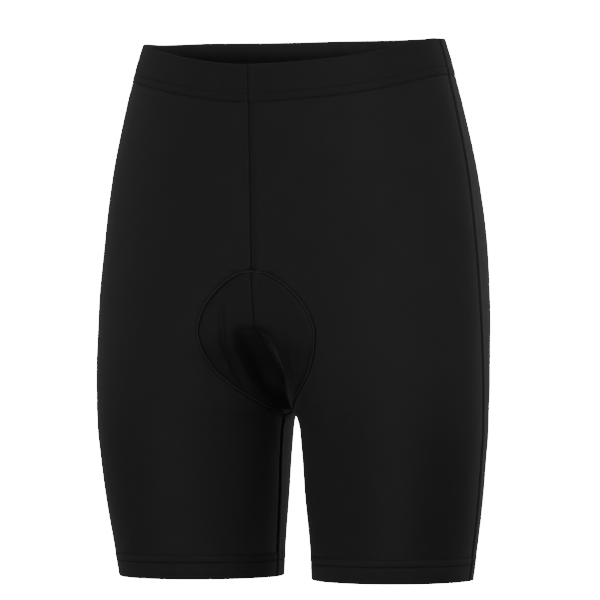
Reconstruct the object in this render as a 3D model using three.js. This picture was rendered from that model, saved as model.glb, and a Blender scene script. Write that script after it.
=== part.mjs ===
// Base layer shorts: padded, close-fitting knitted shorts, filled out with no wearer.
// Millimetres, +Z up, +X is the wearer's left and -Y is the front. The origin is the middle of the
// waist, half way up the waistband at the side seams, where the wearer holds the garment.
import * as THREE from 'three';
import { mergeVertices } from 'three/addons/utils/BufferGeometryUtils.js';

// Driving dimensions
const WALL = 1.6;
const SEAM_GAP = 0.3;
const BAND_HEIGHT = 32;
const BAND_THICKNESS = 3;
const BAND_PROUD = 0.5;
const SIDE_TOP = 16;
const FRONT_DROP = 24;
const BACK_RISE = 5;
const CROTCH = -297;
const HEM_LEVEL = -440;
const HEM_DEPTH = 24;
const HEM_THICKNESS = 2.4;
const HEM_PROUD = 0.4;
const PAD_MIDDLE = 8;
const PAD_EDGE = 1.8;
const PAD_CLEARANCE = 1.4;
const PAD_BULGE = 1.2;

// How finely the cloth is divided
const PANEL_COLUMNS = 17;
const ROWS_ABOVE_CROTCH = 21;
const ROWS_BELOW_CROTCH = 9;
const COLUMN_PACKING = 1.2;
const PAD_COLUMNS = 6;
const PAD_ROWS = 16;
const PAD_ROWS_BELOW = 4;
const RING_STEPS = 96;

// Horizontal sections of one half, from the waist down. half: greatest half width. gap: half of the
// gap between the legs. shut: the gap that the leg's ellipse leaves, before the legs are parted at
// the middle. front, back: greatest depth each way. seam: y of the side seam and inseam. cf, cb:
// depth at the centre front and centre back seams. bridge: how widely the two sides run into each
// other at the middle. lean: how far the thighs turn inwards at the back.
const SECTION_COLUMNS = ['z', 'half', 'gap', 'shut', 'front', 'back', 'seam', 'cf', 'cb', 'bridge', 'lean'];
const SECTIONS = [
  [30, 126.5, 0, 0, 102, 97, -3, 102, 97, 4, 0],
  [0, 137, 0, 0, 102, 100, -5, 102, 100, 12, 0],
  [-50, 150.5, 0, 0, 100.5, 106, -8, 100.5, 105.5, 26, 0],
  [-100, 160.5, 0, 0, 98.5, 112, -9, 98, 109, 38, 0],
  [-150, 167, 0, 0, 97.5, 116, -10, 96.5, 110, 45, 0],
  [-200, 171, 0, 0, 97, 114, -10, 92, 104, 44, 0.02],
  [-225, 172.1, 0, 0, 96, 110.5, -8.8, 87, 97.5, 38, 0.03],
  [-240, 172.5, 0, 0, 95, 108, -8, 78.5, 91, 28, 0.04],
  [-255, 172.7, 0, 0, 93.7, 105.5, -7.2, 61, 80, 19, 0.05],
  [-275, 172.7, 0, 0, 92, 102, -6, 36, 60, 13, 0.06],
  [-288, 172.4, 0, 0, 90.5, 99, -5, 18.5, 38, 11, 0.07],
  [CROTCH, 172.1, 0, 0, 89.7, 97.2, -4.5, 0, 0, 12, 0.08],
  [-304, 171.8, 8.5, 5.5, 89, 96, -4, 0, 0, 11.6, 0.08],
  [-311, 171.6, 10.8, 8, 88.2, 95.1, -3.7, 0, 0, 11.2, 0.08],
  [-320, 171.2, 11.6, 10.2, 87.3, 94, -3.4, 0, 0, 10.6, 0.08],
  [-330, 170.3, 12.3, 12, 86, 92.5, -3, 0, 0, 10, 0.08],
  [-370, 166.5, 14.5, 14.5, 81, 86.5, -1, 0, 0, 10, 0.07],
  [-410, 161, 17.5, 17.5, 75, 80, 2, 0, 0, 10, 0.06],
  [HEM_LEVEL, 156.5, 19, 19, 70.5, 75, 3, 0, 0, 10, 0.05],
];

// Outline of the pad: at each height, how far along the cloth it reaches from the middle seam
const PAD_OUTLINE_COLUMNS = ['z', 'front', 'back'];
const PAD_OUTLINE = [
  [-172, 0, 0],
  [-176, 0, 36],
  [-180, 0, 52],
  [-181.5, 11, 57],
  [-184, 17, 63],
  [-195, 33, 76],
  [-215, 49, 84],
  [-232, 54, 82],
  [-250, 53.5, 75],
  [-262, 52, 68],
  [-272, 47.5, 58],
  [-281, 41, 49],
  [-288, 33, 39],
  [-293.5, 24, 28],
  [-298, 14.5, 18],
  [-301.5, 7, 9],
  [-304, 0, 0],
];
const PAD_TOP = { front: -180, back: -172 };
const PAD_BOTTOM = -304;

// Soft creases in the cloth over the pad: along is the distance from the middle seam
const FOLD_COLUMNS = ['panel', 'topZ', 'topAlong', 'bottomZ', 'bottomAlong', 'width', 'depth'];
const FOLDS = [
  ['front', -200, 26.5, -281, 33, 7, 1.7],
  ['back', -196, 46, -284, 24, 10, 2.2],
];

// Finishes
const CLOTH = { color: 0x19191a, roughness: 0.62, metalness: 0 };
const BINDING = { color: 0x151516, roughness: 0.7, metalness: 0 };
const PAD_FOAM = { color: 0x2b2b2d, roughness: 0.85, metalness: 0 };

// A table's rows as one list for each named column, from the lowest row to the highest
function columnsOf(names, rows) {
  const upwards = [...rows].reverse();
  return Object.fromEntries(names.map((name, i) => [name, upwards.map((row) => row[i])]));
}

// A smooth curve through the rows of a table that never overshoots them
function curveThrough(xs, ys, firstSlope, lastSlope) {
  const steps = xs.slice(1).map((x, i) => x - xs[i]);
  const slopes = steps.map((step, i) => (ys[i + 1] - ys[i]) / step);
  const last = slopes.length;
  const tangents = ys.map((_, i) => {
    if (i === 0) return firstSlope ?? slopes[0];
    if (i === last) return lastSlope ?? slopes[last - 1];
    if (slopes[i - 1] * slopes[i] <= 0) return 0;
    const left = 2 * steps[i] + steps[i - 1];
    const right = steps[i] + 2 * steps[i - 1];
    return (left + right) / (left / slopes[i - 1] + right / slopes[i]);
  });
  return (value) => {
    const x = Math.min(Math.max(value, xs[0]), xs[last]);
    let i = 0;
    while (i < last - 1 && x >= xs[i + 1]) i += 1;
    const t = (x - xs[i]) / steps[i];
    const rest = 1 - t;
    const ends = (1 + 2 * t) * rest * rest * ys[i] + t * t * (3 - 2 * t) * ys[i + 1];
    return ends + t * rest * steps[i] * (rest * tangents[i] - t * tangents[i + 1]);
  };
}

function smoothStep(value) {
  const t = Math.min(Math.max(value, 0), 1);
  return t * t * (3 - 2 * t);
}

// The section table as curves over height
const section = columnsOf(SECTION_COLUMNS, SECTIONS);
const sectionCurve = (name) => curveThrough(section.z, section[name]);
const halfWidth = sectionCurve('half');
const bridge = sectionCurve('bridge');
const seamLine = sectionCurve('seam');
const lean = sectionCurve('lean');
const depth = { front: sectionCurve('front'), back: sectionCurve('back') };

// How far each ring closes at the middle: under 1 it is open at the centre seam, at 1 it touches
// itself at the crotch, and over 1 it is the closed ring of a leg.
function legClosure(i) {
  const outer = Math.hypot(section.half[i], section.bridge[i]);
  const inner = Math.hypot(section.shut[i], section.bridge[i]);
  return (outer + inner - 2 * section.bridge[i]) / (outer - inner);
}

function bodyClosure(i, panel) {
  const sign = panel === 'front' ? 1 : -1;
  const centre = panel === 'front' ? section.cf[i] : section.cb[i];
  const reach = (centre + sign * section.seam[i]) / (section[panel][i] + sign * section.seam[i]);
  return Math.sqrt(1 - reach * reach);
}

const crotchRow = section.z.indexOf(CROTCH);
const legRows = section.z.slice(0, crotchRow + 1);
const bodyRows = section.z.slice(crotchRow);
const legCurve = curveThrough(legRows, legRows.map((_, i) => legClosure(i)));
const crotchSlope = (1 - legClosure(crotchRow - 1)) / (CROTCH - section.z[crotchRow - 1]);

function closureCurve(panel) {
  const values = bodyRows.map((_, i) => (i === 0 ? 1 : bodyClosure(crotchRow + i, panel)));
  const bodyCurve = curveThrough(bodyRows, values, crotchSlope);
  return (z) => (z < CROTCH ? legCurve(z) : bodyCurve(z));
}
const closure = { front: closureCurve('front'), back: closureCurve('back') };

// What the square of the leg gap has beyond what the ellipse leaves: nothing above the crotch
const openingCurve = curveThrough(
  legRows,
  legRows.map((_, i) => section.gap[i] ** 2 - section.shut[i] ** 2),
  undefined,
  0,
);
function opening(z) {
  return z < CROTCH ? openingCurve(z) : 0;
}

// Half a ring of one panel at height z, from the middle seam or inseam out to the side seam. It is
// an arc of an ellipse, bent so that it meets the other half without a corner.
const LEAN_FADE = 40;
function ringAt(panel, z) {
  const sign = panel === 'front' ? -1 : 1;
  const k = bridge(z);
  const e = closure[panel](z);
  const seam = seamLine(z);
  const p = (Math.hypot(halfWidth(z), k) - k) / (1 + e);
  const q = depth[panel](z) - sign * seam;
  const end = e < 1 ? Math.acos(-e) : Math.PI;
  const pointAt = (r) => {
    const angle = end * (1 - r * r);
    const stretched = k + e * p + p * Math.cos(angle);
    const squared = stretched * stretched - k * k + opening(z);
    const straight = r === 0 && e <= 1 ? 0 : Math.sqrt(Math.max(0, squared));
    const out = sign * q * Math.sin(angle);
    return [straight - lean(z) * out * smoothStep(straight / LEAN_FADE), seam + out];
  };
  const lengths = [0];
  let previous = pointAt(0);
  for (let i = 1; i <= RING_STEPS; i += 1) {
    const next = pointAt(i / RING_STEPS);
    lengths.push(lengths[i - 1] + Math.hypot(next[0] - previous[0], next[1] - previous[1]));
    previous = next;
  }
  const along = (distance) => {
    let i = 1;
    while (i < RING_STEPS && lengths[i] < distance) i += 1;
    const share = (distance - lengths[i - 1]) / (lengths[i] - lengths[i - 1]);
    const [x, y] = pointAt((i - 1 + share) / RING_STEPS);
    return new THREE.Vector3(x, y, z);
  };
  return { total: lengths[RING_STEPS], along };
}

// The cloth at a distance from the middle seam
function clothAt(panel, distance, z) {
  return ringAt(panel, z).along(distance);
}

// Negative inside the cloth's form, 0 on it and positive outside
function insideRing(panel, { x, y, z }) {
  const sign = panel === 'front' ? -1 : 1;
  const k = bridge(z);
  const e = closure[panel](z);
  const seam = seamLine(z);
  const p = (Math.hypot(halfWidth(z), k) - k) / (1 + e);
  const q = depth[panel](z) - sign * seam;
  let straight = x;
  for (let i = 0; i < 4; i += 1) {
    straight = x + lean(z) * (y - seam) * smoothStep(straight / LEAN_FADE);
  }
  const stretched = Math.sqrt(straight * straight + k * k - opening(z));
  return ((stretched - k) / p - e) ** 2 + ((y - seam) / q) ** 2 - 1;
}

// The direction out of the cloth, from the slope of insideRing. Front and back panels use the front's
// where they meet, and the centre seams point straight ahead, so that shared points agree.
const SLOPE_STEP = 0.05;
const SEAM_TOLERANCE = 1e-6;
function outOfCloth(panel, distance, z) {
  const atMiddle = distance < SEAM_TOLERANCE;
  if (z === CROTCH && atMiddle) return new THREE.Vector3(0, 0, -1);
  const atSide = distance > ringAt(panel, z).total - SEAM_TOLERANCE;
  const owner = atSide || (atMiddle && z < CROTCH) ? 'front' : panel;
  const point = clothAt(owner, atSide ? ringAt(owner, z).total : distance, z);
  const slopeAlong = (axis) => {
    const ahead = point.clone();
    const behind = point.clone();
    ahead[axis] += SLOPE_STEP;
    behind[axis] -= SLOPE_STEP;
    return insideRing(owner, ahead) - insideRing(owner, behind);
  };
  const out = new THREE.Vector3(slopeAlong('x'), slopeAlong('y'), slopeAlong('z'));
  if (atMiddle && z > CROTCH) out.x = 0;
  return out.normalize();
}

const padOutline = columnsOf(PAD_OUTLINE_COLUMNS, PAD_OUTLINE);
const padReach = {
  front: curveThrough(padOutline.z, padOutline.front),
  back: curveThrough(padOutline.z, padOutline.back),
};
const folds = FOLDS.map((row) => Object.fromEntries(FOLD_COLUMNS.map((name, i) => [name, row[i]])));

// How far the cloth stands out over the pad, less the creases that run across it and the hollow
// that the pad folds into at the middle, where it turns under
const BULGE_EDGE = 9;
const BULGE_RISE = 45;
const FOLD_FADE = 26;
const HOLLOW_DEPTH = 10;
const HOLLOW_REACH = 21;
const HOLLOW_EDGE = 14;
const HOLLOW_TOP = -223;
const HOLLOW_RISE = 19;
const HOLLOW_BOTTOM = -290;
const HOLLOW_FALL = 28;
function relief(panel, distance, z) {
  const inside = smoothStep((padReach[panel](z) - distance) / BULGE_EDGE);
  const aboveCrotch = smoothStep((z - CROTCH) / BULGE_RISE);
  const creases = folds.filter((fold) => fold.panel === panel).map((fold) => {
    const t = (z - fold.bottomZ) / (fold.topZ - fold.bottomZ);
    const centre = fold.bottomAlong + t * (fold.topAlong - fold.bottomAlong);
    const ends = smoothStep((fold.topZ - z) / FOLD_FADE) * smoothStep((z - fold.bottomZ) / FOLD_FADE);
    return fold.depth * ends * Math.exp(-(((distance - centre) / fold.width) ** 2));
  });
  const hollowEnds = smoothStep((HOLLOW_TOP - z) / HOLLOW_RISE) * smoothStep((z - HOLLOW_BOTTOM) / HOLLOW_FALL);
  const hollow = HOLLOW_DEPTH * hollowEnds * smoothStep((HOLLOW_REACH - distance) / HOLLOW_EDGE);
  const sunk = creases.reduce((sum, crease) => sum + crease, panel === 'front' ? hollow : 0);
  return PAD_BULGE * inside * aboveCrotch - sunk;
}

// A point of the cloth's outer face moved out along its normal
function movedOut(panel, distance, z, out) {
  const lift = out + relief(panel, distance, z);
  return clothAt(panel, distance, z).addScaledVector(outOfCloth(panel, distance, z), lift);
}

// Heights of the waist edge and of the seam under the waistband, t running from middle to side
function waistEdge(panel, t) {
  const middle = (1 + Math.cos(Math.PI * t)) / 2;
  return panel === 'front' ? SIDE_TOP - FRONT_DROP * middle : SIDE_TOP + BACK_RISE * middle;
}

// Triangles between two grids of points of one size, each with its edges closed
const MERGE_DISTANCE = 1e-3;
class Body {
  constructor() {
    this.corners = [];
  }

  quad(a, b, c, d) {
    this.corners.push(a, b, c, a, c, d);
  }

  // Rims names the sides of the grid that are walled: rows, columns, outerColumn
  layers(outer, inner, flipped, rims) {
    const lastRow = outer.length - 1;
    const lastColumn = outer[0].length - 1;
    const put = (a, b, c, d) => (flipped ? this.quad(a, d, c, b) : this.quad(a, b, c, d));
    for (let i = 0; i < lastRow; i += 1) {
      for (let j = 0; j < lastColumn; j += 1) {
        put(outer[i][j], outer[i][j + 1], outer[i + 1][j + 1], outer[i + 1][j]);
        put(inner[i + 1][j], inner[i + 1][j + 1], inner[i][j + 1], inner[i][j]);
      }
      if (rims.columns) put(inner[i][0], outer[i][0], outer[i + 1][0], inner[i + 1][0]);
      if (rims.columns || rims.outerColumn) {
        const j = lastColumn;
        put(outer[i][j], inner[i][j], inner[i + 1][j], outer[i + 1][j]);
      }
    }
    for (let j = 0; rims.rows && j < lastColumn; j += 1) {
      put(inner[0][j], inner[0][j + 1], outer[0][j + 1], outer[0][j]);
      put(outer[lastRow][j], outer[lastRow][j + 1], inner[lastRow][j + 1], inner[lastRow][j]);
    }
  }

  // One closed mesh: equal corners are joined, and triangles with no area are dropped
  mesh(name, finish) {
    const loose = new THREE.BufferGeometry().setFromPoints(this.corners);
    const joined = mergeVertices(loose, MERGE_DISTANCE);
    const corner = joined.index.array;
    const kept = [];
    for (let i = 0; i < corner.length; i += 3) {
      const [a, b, c] = [corner[i], corner[i + 1], corner[i + 2]];
      if (a !== b && b !== c && c !== a) kept.push(a, b, c);
    }
    joined.setIndex(kept);
    const mesh = new THREE.Mesh(joined, new THREE.MeshStandardMaterial(finish));
    mesh.name = name;
    return mesh;
  }
}

const mirroredGrid = (grid) => grid.map((row) => row.map((p) => new THREE.Vector3(-p.x, p.y, p.z)));
const SIDES = ['left', 'right'];
const PANELS = ['front', 'back'];

const shares = (count) => Array.from({ length: count + 1 }, (_, i) => i / count);

// Front and back panels, from the seam under the waistband to the top of the hem. The rows crowd
// together at the crotch, where the cloth turns under and the seam there is a little wider.
const CROTCH_INSET = 0.35;
const CROTCH_INSET_REACH = 6;
function middleInset(z) {
  return SEAM_GAP / 2 + CROTCH_INSET * Math.exp(-(((z - CROTCH) / CROTCH_INSET_REACH) ** 2));
}

// A grid over one panel: rows and columns are shares, and heightOf gives a row's height at t
function panelGrid(panel, rows, columns, heightOf, lift) {
  return rows.map((row) => columns.map((t) => {
    const z = heightOf(row, t);
    const inset = middleInset(z);
    const distance = inset + t * (ringAt(panel, z).total - inset - SEAM_GAP / 2);
    return movedOut(panel, distance, z, lift);
  }));
}

function cutPanel(panel) {
  const legTop = HEM_LEVEL + HEM_DEPTH + SEAM_GAP / 2;
  const rows = [
    ...shares(ROWS_BELOW_CROTCH).slice(1).reverse().map((s) => -s),
    ...shares(ROWS_ABOVE_CROTCH),
  ];
  const columns = shares(PANEL_COLUMNS).map((t) => t ** COLUMN_PACKING);
  const heightOf = (row, t) => {
    const bodyTop = waistEdge(panel, t) - BAND_HEIGHT - SEAM_GAP / 2;
    return CROTCH + ((row < 0 ? legTop : bodyTop) - CROTCH) * row * row;
  };
  const outer = panelGrid(panel, rows, columns, heightOf, 0);
  const inner = panelGrid(panel, rows, columns, heightOf, -WALL);
  return SIDES.map((side) => {
    const flipped = (panel === 'back') !== (side === 'right');
    const place = side === 'left' ? (grid) => grid : mirroredGrid;
    const body = new Body();
    body.layers(place(outer), place(inner), flipped, { rows: true, columns: true });
    return body.mesh(`${panel}_${side}`, CLOTH);
  });
}

// Cross-section of the waistband and of a turned hem: share of the height, and how proud of the cloth
const BAND_PROFILE = [
  { share: 0, proud: 0.2 },
  { share: 0.12, proud: 1 },
  { share: 0.88, proud: 1 },
  { share: 1, proud: 0 },
];
const HEM_PROFILE = [
  { share: 0, proud: 0 },
  { share: 0.2, proud: 1 },
  { share: 0.9, proud: 1 },
  { share: 1, proud: 0.2 },
];

// A band all round one opening, made from the same rings as the panels
function bandGrid(profile, panel, heightOf, proud, thickness) {
  const columns = shares(PANEL_COLUMNS);
  const gridAt = (offsetOf) => profile.map((row) => columns.map((t) => {
    const z = heightOf(row.share, panel, t);
    return movedOut(panel, t * ringAt(panel, z).total, z, offsetOf(row));
  }));
  return {
    outer: gridAt((row) => proud * row.proud),
    inner: gridAt(() => proud - thickness),
  };
}

function waistband() {
  const height = BAND_HEIGHT - SEAM_GAP / 2;
  const heightOf = (share, panel, t) => waistEdge(panel, t) - (1 - share) * height;
  const body = new Body();
  PANELS.forEach((panel) => {
    const { outer, inner } = bandGrid(BAND_PROFILE, panel, heightOf, BAND_PROUD, BAND_THICKNESS);
    body.layers(outer, inner, panel === 'back', { rows: true });
    body.layers(mirroredGrid(outer), mirroredGrid(inner), panel === 'front', { rows: true });
  });
  return body.mesh('waistband', BINDING);
}

function legHem(side) {
  const heightOf = (share) => HEM_LEVEL + share * (HEM_DEPTH - SEAM_GAP / 2);
  const place = side === 'left' ? (grid) => grid : mirroredGrid;
  const body = new Body();
  PANELS.forEach((panel) => {
    const { outer, inner } = bandGrid(HEM_PROFILE, panel, heightOf, HEM_PROUD, HEM_THICKNESS);
    const flipped = (panel === 'back') !== (side === 'right');
    body.layers(place(outer), place(inner), flipped, { rows: true });
  });
  return body.mesh(`hem_${side}`, BINDING);
}

// The pad inside the crotch: four quarters that share the centre seam line above the crotch and
// the inseam line below it. It is thick in the middle and thin at its stitched edge.
const PAD_FULLNESS = 4;
function pad() {
  const seat = -(WALL + PAD_CLEARANCE);
  const body = new Body();
  PANELS.forEach((panel) => {
    const top = PAD_TOP[panel];
    const below = shares(PAD_ROWS_BELOW).slice(1).reverse();
    const heights = [
      ...below.map((s) => CROTCH + (PAD_BOTTOM - CROTCH) * s * s),
      ...shares(PAD_ROWS).map((s) => CROTCH + (top - CROTCH) * smoothStep(s)),
    ];
    const reachAt = (z) => (z === top || z === PAD_BOTTOM ? 0 : padReach[panel](z));
    const narrowestAt = (z) => Math.min(...PANELS.map((each) => padReach[each](z)));
    const gridAt = (thicknessOf) => heights.map((z) => shares(PAD_COLUMNS).map((v) => (
      movedOut(panel, v * reachAt(z), z, seat - thicknessOf(v, z))
    )));
    // Below the crotch, the front and back quarters meet, so both are as thick as the narrower one
    const fullness = (v, z) => {
      const reach = z < CROTCH ? narrowestAt(z) : reachAt(z);
      return Math.min(1, reach / PAD_MIDDLE) * (1 - v ** PAD_FULLNESS);
    };
    const outer = gridAt(() => 0);
    const inner = gridAt((v, z) => PAD_EDGE + (PAD_MIDDLE - PAD_EDGE) * fullness(v, z));
    body.layers(outer, inner, panel === 'back', { outerColumn: true });
    body.layers(mirroredGrid(outer), mirroredGrid(inner), panel === 'front', { outerColumn: true });
  });
  return body.mesh('pad', PAD_FOAM);
}

const group = new THREE.Group();
group.add(...cutPanel('front'), ...cutPanel('back'));
group.add(waistband(), legHem('left'), legHem('right'), pad());

export default group;
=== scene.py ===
import bpy
import numpy as np
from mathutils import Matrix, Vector


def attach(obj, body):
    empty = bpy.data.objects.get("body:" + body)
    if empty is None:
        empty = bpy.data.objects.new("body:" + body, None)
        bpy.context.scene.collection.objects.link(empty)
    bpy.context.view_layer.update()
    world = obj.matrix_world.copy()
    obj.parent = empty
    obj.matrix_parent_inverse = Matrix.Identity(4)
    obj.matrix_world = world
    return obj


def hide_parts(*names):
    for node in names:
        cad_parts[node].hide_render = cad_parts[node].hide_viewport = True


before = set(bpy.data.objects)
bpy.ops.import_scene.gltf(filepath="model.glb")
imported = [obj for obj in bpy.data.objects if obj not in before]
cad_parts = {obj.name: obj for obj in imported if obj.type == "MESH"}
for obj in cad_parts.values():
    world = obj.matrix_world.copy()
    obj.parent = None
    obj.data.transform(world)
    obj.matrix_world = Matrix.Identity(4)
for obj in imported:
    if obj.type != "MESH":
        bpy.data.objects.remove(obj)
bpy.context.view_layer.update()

# Camera
# It looks at the shorts from a little to the wearer's left of straight ahead, level, from 4 m away,
# with the frame 510 mm wide at the middle of the garment.
CAMERA_AZIMUTH = np.radians(23)
CAMERA_DISTANCE = 4.0
CAMERA_HEIGHT = -0.204
CAMERA_SHIFT = 0.0038
FRAME_WIDTH = 0.51
SENSOR = 36


def new_object(name, data):
    """An object with that data, placed in the scene."""
    made = bpy.data.objects.new(name, data)
    bpy.context.scene.collection.objects.link(made)
    return made


camera = new_object("camera", bpy.data.cameras.new("camera"))
bpy.context.scene.camera = camera
camera.data.sensor_fit = "HORIZONTAL"
camera.data.sensor_width = SENSOR
camera.data.lens = SENSOR * CAMERA_DISTANCE / FRAME_WIDTH
camera.data.clip_end = 60
camera_right = Vector((np.cos(CAMERA_AZIMUTH), np.sin(CAMERA_AZIMUTH), 0))
camera_back = Vector((np.sin(CAMERA_AZIMUTH), -np.cos(CAMERA_AZIMUTH), 0))
camera.location = camera_right * CAMERA_SHIFT + camera_back * CAMERA_DISTANCE
camera.location.z = CAMERA_HEIGHT
camera.rotation_euler = (np.pi / 2, 0, CAMERA_AZIMUTH)

# Front panels
# Two pieces of black stretch knit, cut from the centre front seam and inseam to the side seam, and
# sewn together with flat overlocked seams. The table gives level sections of one half, in
# millimetres, as worn: half width, half of the gap between the legs, depth to the front and back,
# y of the side seam and inseam, depth at the centre seams, how widely the halves run together at
# the middle, and how far the thighs turn in at the back.
MM = 0.001
CROTCH = -297.0
HEM_LEVEL = -440.0
HEM_DEPTH = 21.0
BAND_HEIGHT = 32.0
SIDE_TOP = 16.0
FRONT_DROP = 24.0
BACK_RISE = 5.0
CLOTH_THICKNESS = 1.2
SECTION_COLUMNS = ("z", "half", "gap", "shut", "front", "back", "seam", "cf", "cb", "bridge", "lean")
SECTIONS = [
    (30, 126.5, 0, 0, 102, 97, -3, 102, 97, 4, 0),
    (0, 137, 0, 0, 102, 100, -5, 102, 100, 12, 0),
    (-50, 150.5, 0, 0, 100.5, 106, -8, 100.5, 105.5, 26, 0),
    (-100, 160.5, 0, 0, 98.5, 112, -9, 98, 109, 38, 0),
    (-150, 167, 0, 0, 97.5, 116, -10, 96.5, 110, 45, 0),
    (-200, 171, 0, 0, 97, 114, -10, 92, 104, 44, 0.02),
    (-225, 172.1, 0, 0, 96, 110.5, -8.8, 87, 97.5, 38, 0.03),
    (-240, 172.5, 0, 0, 95, 108, -8, 78.5, 91, 28, 0.04),
    (-255, 172.7, 0, 0, 93.7, 105.5, -7.2, 61, 80, 19, 0.05),
    (-275, 172.7, 0, 0, 92, 102, -6, 36, 60, 13, 0.06),
    (-288, 172.4, 0, 0, 90.5, 99, -5, 18.5, 38, 11, 0.07),
    (CROTCH, 172.1, 0, 0, 89.7, 97.2, -4.5, 0, 0, 12, 0.08),
    (-304, 171.8, 8.5, 5.5, 89, 96, -4, 0, 0, 11.6, 0.08),
    (-311, 171.6, 10.8, 8, 88.2, 95.1, -3.7, 0, 0, 11.2, 0.08),
    (-320, 171.2, 11.6, 10.2, 87.3, 94, -3.4, 0, 0, 10.6, 0.08),
    (-330, 170.3, 12.3, 12, 86, 92.5, -3, 0, 0, 10, 0.08),
    (-370, 166.5, 14.5, 14.5, 81, 86.5, -1, 0, 0, 10, 0.07),
    (-410, 161, 17.5, 17.5, 75, 80, 2, 0, 0, 10, 0.06),
    (HEM_LEVEL, 156.5, 19, 19, 70.5, 75, 3, 0, 0, 10, 0.05),
]
LEAN_FADE = 40.0
PANELS = ("front", "back")
SIDES = ("left", "right")
MIRROR = {"left": [1, 1, 1], "right": [-1, 1, 1]}


def curve_through(xs, ys, first_slope=None, last_slope=None):
    """A curve through the rows of a table: cubic stretches whose slopes at each row are the weighted
    harmonic mean of the straight slopes beside it, so that the curve never overshoots."""
    xs, ys = np.asarray(xs, float), np.asarray(ys, float)
    step = np.diff(xs)
    slope = np.diff(ys) / step
    tangent = np.zeros_like(ys)
    tangent[0] = slope[0] if first_slope is None else first_slope
    tangent[-1] = slope[-1] if last_slope is None else last_slope
    same = slope[:-1] * slope[1:] > 0
    before, after = np.where(same, slope[:-1], 1), np.where(same, slope[1:], 1)
    left, right = 2 * step[1:] + step[:-1], step[1:] + 2 * step[:-1]
    tangent[1:-1] = np.where(same, (left + right) / (left / before + right / after), 0)

    def curve(value):
        x = np.clip(value, xs[0], xs[-1])
        i = np.clip(np.searchsorted(xs, x, side="right") - 1, 0, len(step) - 1)
        t = (x - xs[i]) / step[i]
        rest = 1 - t
        ends = (1 + 2 * t) * rest * rest * ys[i] + t * t * (3 - 2 * t) * ys[i + 1]
        return ends + t * rest * step[i] * (rest * tangent[i] - t * tangent[i + 1])

    return curve


def smooth(value):
    """From 0 to 1 with no slope at either end: three times the square less twice the cube."""
    t = np.clip(value, 0, 1)
    return t * t * (3 - 2 * t)


section = dict(zip(SECTION_COLUMNS, np.array(SECTIONS, float)[::-1].T))
half_width, bridge, seam_line, lean = (
    curve_through(section["z"], section[name]) for name in ("half", "bridge", "seam", "lean")
)
depth = {panel: curve_through(section["z"], section[panel]) for panel in PANELS}
crotch_row = int(np.searchsorted(section["z"], CROTCH))
outer_end = np.hypot(section["half"], section["bridge"])
inner_end = np.hypot(section["shut"], section["bridge"])
leg_closure = (outer_end + inner_end - 2 * section["bridge"]) / (outer_end - inner_end)
leg_curve = curve_through(section["z"][:crotch_row + 1], leg_closure[:crotch_row + 1])
gap_curve = curve_through(
    section["z"][:crotch_row + 1],
    (section["gap"] ** 2 - section["shut"] ** 2)[:crotch_row + 1],
    last_slope=0,
)
leg_end_slope = (leg_closure[crotch_row] - leg_closure[crotch_row - 1]) / (
    CROTCH - section["z"][crotch_row - 1]
)


def body_closure_curve(panel):
    """How far each ring above the crotch closes at the middle: the square root of one less the square
    of the centre seam's depth over the greatest depth, both measured from the side seam's line."""
    sign, centre = (1, section["cf"]) if panel == "front" else (-1, section["cb"])
    reach = (centre + sign * section["seam"]) / (section[panel] + sign * section["seam"])
    values = np.sqrt(1 - reach[crotch_row:] ** 2)
    values[0] = 1
    return curve_through(section["z"][crotch_row:], values, leg_end_slope)


body_curve = {panel: body_closure_curve(panel) for panel in PANELS}


def opening(z):
    """What the square of the leg gap has beyond what the ellipse leaves: nothing above the crotch."""
    return np.where(z < CROTCH, gap_curve(z), 0)


def ring_shape(panel, z):
    """Which way a ring bulges, its bridge, its side seam's y, how far it closes and its half axes."""
    sign = -1 if panel == "front" else 1
    k, seam = bridge(z), seam_line(z)
    e = np.where(z < CROTCH, leg_curve(z), body_curve[panel](z))
    return sign, k, seam, e, (np.hypot(half_width(z), k) - k) / (1 + e), depth[panel](z) - sign * seam


def on_ring(panel, r, z):
    """A point of the cloth at height z, r running from the middle seam to the side seam. The ring is an
    arc of an ellipse in x and y, its angle falling with the square of r. Then x becomes the square
    root of x squared, less the bridge squared, plus the opening, so that the two halves meet without
    a corner and the legs part at the middle alone."""
    sign, k, seam, e, p, q = ring_shape(panel, z)
    end = np.arccos(-np.minimum(e, 1))
    angle = end * (1 - r * r)
    stretched = k + e * p + p * np.cos(angle)
    straight = np.sqrt(np.maximum(stretched * stretched - k * k + opening(z), 0))
    straight = np.where((r == 0) & (e <= 1), 0, straight)
    out = sign * q * np.sin(angle)
    x = straight - lean(z) * out * smooth(straight / LEAN_FADE)
    return np.stack([x, seam + out, z + 0 * r], -1)


# Arc lengths of the rings, so that places on the cloth can be given in millimetres from a seam. The
# levels are even in the square root of the height over or under the crotch, where the rings change
# fastest.
LEVELS = np.linspace(-12, 18.4, 609)
RING_SHARES = np.linspace(0, 1, 161)
ring_steps = np.linspace(0, 1, 321)


def level_of(z):
    """The square root of the height over the crotch, negative below it."""
    return np.sign(z - CROTCH) * np.sqrt(np.abs(z - CROTCH))


def arc_table(panel):
    """For each level, the ring's length and the r of evenly spaced shares of that length."""
    rings = on_ring(panel, ring_steps[None, :], (CROTCH + LEVELS * np.abs(LEVELS))[:, None])
    lengths = np.linalg.norm(np.diff(rings, axis=1), axis=2).cumsum(1)
    lengths = np.concatenate([np.zeros((len(LEVELS), 1)), lengths], 1)
    r_of_share = [np.interp(RING_SHARES, row / row[-1], ring_steps) for row in lengths]
    return lengths[:, -1], np.array(r_of_share)


arc_tables = {panel: arc_table(panel) for panel in PANELS}


def ring_length(panel, z):
    """The distance in millimetres from the middle seam round to the side seam at height z."""
    return np.interp(level_of(z), LEVELS, arc_tables[panel][0])


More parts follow.
